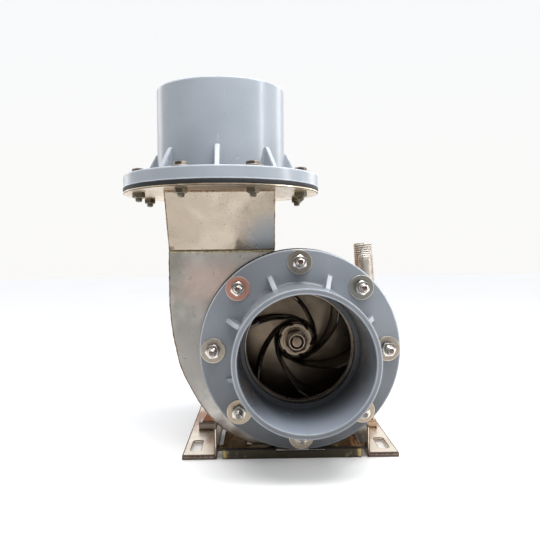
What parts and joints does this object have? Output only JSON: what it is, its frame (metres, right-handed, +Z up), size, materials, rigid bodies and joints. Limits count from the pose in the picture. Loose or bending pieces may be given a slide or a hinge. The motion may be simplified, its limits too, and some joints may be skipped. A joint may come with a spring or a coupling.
{
  "type": "belt-driven water pump",
  "caption": "Volute water pump of folded stainless sheet with large plastic pipe flanges, a bearing stand and a grooved belt pulley on a rail base.",
  "frame": {"origin": "on the floor, under the middle of the pump's bounding box", "axes": "+Y from the suction socket back along the shaft to the pulley, +Z up, +X to the right seen from the suction side"},
  "size_m": [0.4744, 0.639, 0.6317],
  "materials": {
    "pvc": "satin grey moulded plastic, lightly scuffed",
    "rubber": "black sheet rubber",
    "casing_steel": "warm stained stainless sheet with grinding marks",
    "duct_steel": "smooth cream-toned stainless sheet",
    "base_steel": "folded stainless sheet with heat tint and dark edges",
    "impeller_metal": "brown cast metal",
    "turned_steel": "bright turned steel",
    "bearing_paint": "satin blue paint over cast iron",
    "pulley_iron": "dark turned cast iron"
  },
  "bodies": {
    "casing": {"base_rail_left": "base_steel", "base_rail_right": "base_steel", "front_cross_channel": "base_steel", "rear_cross_channel": "base_steel", "support_pad_left": "base_steel", "support_pad_right": "base_steel", "volute_front_plate": "casing_steel", "volute_back_plate": "casing_steel", "scroll_wall": "casing_steel", "suction_eye_ring": "casing_steel", "priming_nipple": "turned_steel", "duct_front_panel": "duct_steel", "duct_left_panel": "duct_steel", "duct_right_panel": "duct_steel", "suction_pvc_flange": "pvc", "discharge_pvc_flange": "pvc", "suction_gasket": "rubber", "discharge_gasket": "rubber", "discharge_steel_flange": "casing_steel", "rear_support_plate": "base_steel", "stuffing_box": "turned_steel", "gland_follower": "turned_steel", "bearing_housing": "bearing_paint", "front_bearing": "turned_steel", "rear_bearing": "turned_steel", "front_bearing_cover": "bearing_paint", "rear_bearing_cover": "bearing_paint", "bearing_bed": "base_steel", "front_saddle_plate": "bearing_paint", "rear_saddle_plate": "bearing_paint"},
    "rotor": {"impeller": "impeller_metal", "impeller_nut": "turned_steel", "shaft": "turned_steel", "drive_pulley": "pulley_iron"}
  },
  "joints": [
    {"name": "rotor_spin", "type": "hinge", "parent": "casing", "child": "rotor", "pos_m": [0.0665, 0, 0.185], "axis": [0, 1, 0], "continuous": true}
  ]
}
